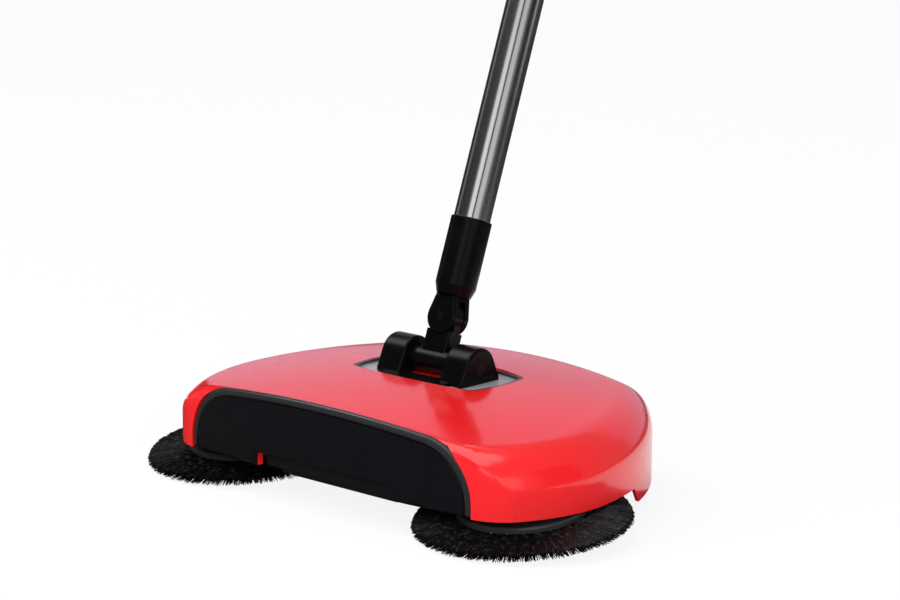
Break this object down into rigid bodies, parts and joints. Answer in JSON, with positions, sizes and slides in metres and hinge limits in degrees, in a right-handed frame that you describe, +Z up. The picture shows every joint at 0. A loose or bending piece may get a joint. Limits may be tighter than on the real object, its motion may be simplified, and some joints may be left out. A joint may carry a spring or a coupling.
{
  "type": "carpet sweeper",
  "caption": "Hand-pushed carpet sweeper: red head with a black bin face, spinning side brushes, a roller brush, geared wheels and a leaning steel handle on a universal hinge.",
  "frame": {"origin": "middle of the footprint on the floor, with the handle at its leaning rest", "axes": "+Z up, +Y to the rear where the handle leans, +X to the sweeper's left as seen by the person pushing it"},
  "size_m": [0.3882, 0.4838, 1.0585],
  "materials": {
    "red_shell": "glossy moulded red",
    "black_gloss": "polished black",
    "black_plastic": "fine moulded black",
    "grey_plastic": "satin grey",
    "steel": "polished tube",
    "zinc_steel": "plain drawn steel",
    "rubber": "matte rubber",
    "bristle": "black nylon strands"
  },
  "bodies": {
    "head": {"upper_housing": "red_shell", "base_chassis": "black_plastic", "hinge_tray": "grey_plastic", "hinge_bracket": "black_plastic", "hinge_pin": "zinc_steel", "housing_screws": "zinc_steel", "tray_screws": "zinc_steel", "bracket_screws": "zinc_steel", "bearing_screws": "zinc_steel", "left_bearing_block": "black_plastic", "right_bearing_block": "black_plastic", "left_drive_belt": "rubber", "right_drive_belt": "rubber", "left_rear_pin": "zinc_steel", "right_rear_pin": "zinc_steel"},
    "dust_bin": {"bin_face": "black_gloss", "bin_tub": "black_plastic"},
    "wheel_set": {"drive_axle": "zinc_steel", "left_wheel": "black_plastic", "right_wheel": "black_plastic", "left_tyre": "rubber", "right_tyre": "rubber", "drive_gear": "black_plastic"},
    "roller": {"roller_shaft": "zinc_steel", "roller_core": "black_plastic", "roller_bristles": "bristle", "roller_gear": "black_plastic"},
    "left_side_brush": {"left_brush_hub": "grey_plastic", "left_brush_bristles": "bristle", "left_brush_shaft": "zinc_steel", "left_brush_screw": "zinc_steel", "left_brush_pulley": "black_plastic"},
    "left_lay_drive": {"left_layshaft": "zinc_steel", "left_friction_wheel": "rubber", "left_layshaft_pulley": "black_plastic"},
    "left_rear_wheel": {"left_rear_roller": "black_plastic"},
    "right_side_brush": {"right_brush_hub": "grey_plastic", "right_brush_bristles": "bristle", "right_brush_shaft": "zinc_steel", "right_brush_screw": "zinc_steel", "right_brush_pulley": "black_plastic"},
    "right_lay_drive": {"right_layshaft": "zinc_steel", "right_friction_wheel": "rubber", "right_layshaft_pulley": "black_plastic"},
    "right_rear_wheel": {"right_rear_roller": "black_plastic"},
    "neck": {"pivot_barrel": "black_plastic"},
    "handle": {"upper_knuckle": "black_plastic", "swivel_pin": "zinc_steel", "handle_socket": "black_plastic", "lower_tube": "steel", "middle_tube": "steel", "upper_tube": "steel", "lower_joint": "black_plastic", "upper_joint": "black_plastic", "hand_grip": "rubber", "hang_cap": "black_plastic"}
  },
  "joints": [
    {"name": "bin_slide", "type": "slide", "parent": "head", "child": "dust_bin", "axis": [0, -1, 0], "range_m": [0, 0.1]},
    {"name": "wheel_spin", "type": "hinge", "parent": "head", "child": "wheel_set", "pos_m": [0, -0.062, 0.025], "axis": [1, 0, 0], "continuous": true},
    {"name": "roller_spin", "type": "hinge", "parent": "head", "child": "roller", "pos_m": [0, -0.0965, 0.0248], "axis": [1, 0, 0], "continuous": true},
    {"name": "left_lay_spin", "type": "hinge", "parent": "head", "child": "left_lay_drive", "pos_m": [-0.0805, -0.062, 0.025], "axis": [0, -0.1045, 0.9945], "continuous": true},
    {"name": "left_brush_spin", "type": "hinge", "parent": "head", "child": "left_side_brush", "pos_m": [-0.124, -0.172, 0.00812], "axis": [0, -0.1045, 0.9945], "continuous": true},
    {"name": "left_rear_spin", "type": "hinge", "parent": "head", "child": "left_rear_wheel", "pos_m": [-0.06, -0.037, 0.008], "axis": [1, 0, 0], "continuous": true},
    {"name": "right_lay_spin", "type": "hinge", "parent": "head", "child": "right_lay_drive", "pos_m": [0.0805, -0.062, 0.025], "axis": [0, -0.1045, 0.9945], "continuous": true},
    {"name": "right_brush_spin", "type": "hinge", "parent": "head", "child": "right_side_brush", "pos_m": [0.124, -0.172, 0.00812], "axis": [0, -0.1045, 0.9945], "continuous": true},
    {"name": "right_rear_spin", "type": "hinge", "parent": "head", "child": "right_rear_wheel", "pos_m": [0.06, -0.037, 0.008], "axis": [1, 0, 0], "continuous": true},
    {"name": "handle_pitch", "type": "hinge", "parent": "head", "child": "neck", "pos_m": [0, -0.117, 0.083], "axis": [-1, 0, 0], "range_deg": [-20, 56]},
    {"name": "handle_swivel", "type": "hinge", "parent": "neck", "child": "handle", "pos_m": [0, -0.10683, 0.11123], "axis": [0, 0.9409, -0.3387], "range_deg": [-60, 60]}
  ],
  "couplings": [
    {"joint": "roller_spin", "follows": "wheel_spin", "ratio": -1.3},
    {"joint": "left_lay_spin", "follows": "wheel_spin", "ratio": 2.1667},
    {"joint": "left_brush_spin", "follows": "wheel_spin", "ratio": 1.4444},
    {"joint": "right_lay_spin", "follows": "wheel_spin", "ratio": -2.1667},
    {"joint": "right_brush_spin", "follows": "wheel_spin", "ratio": -1.4444}
  ]
}
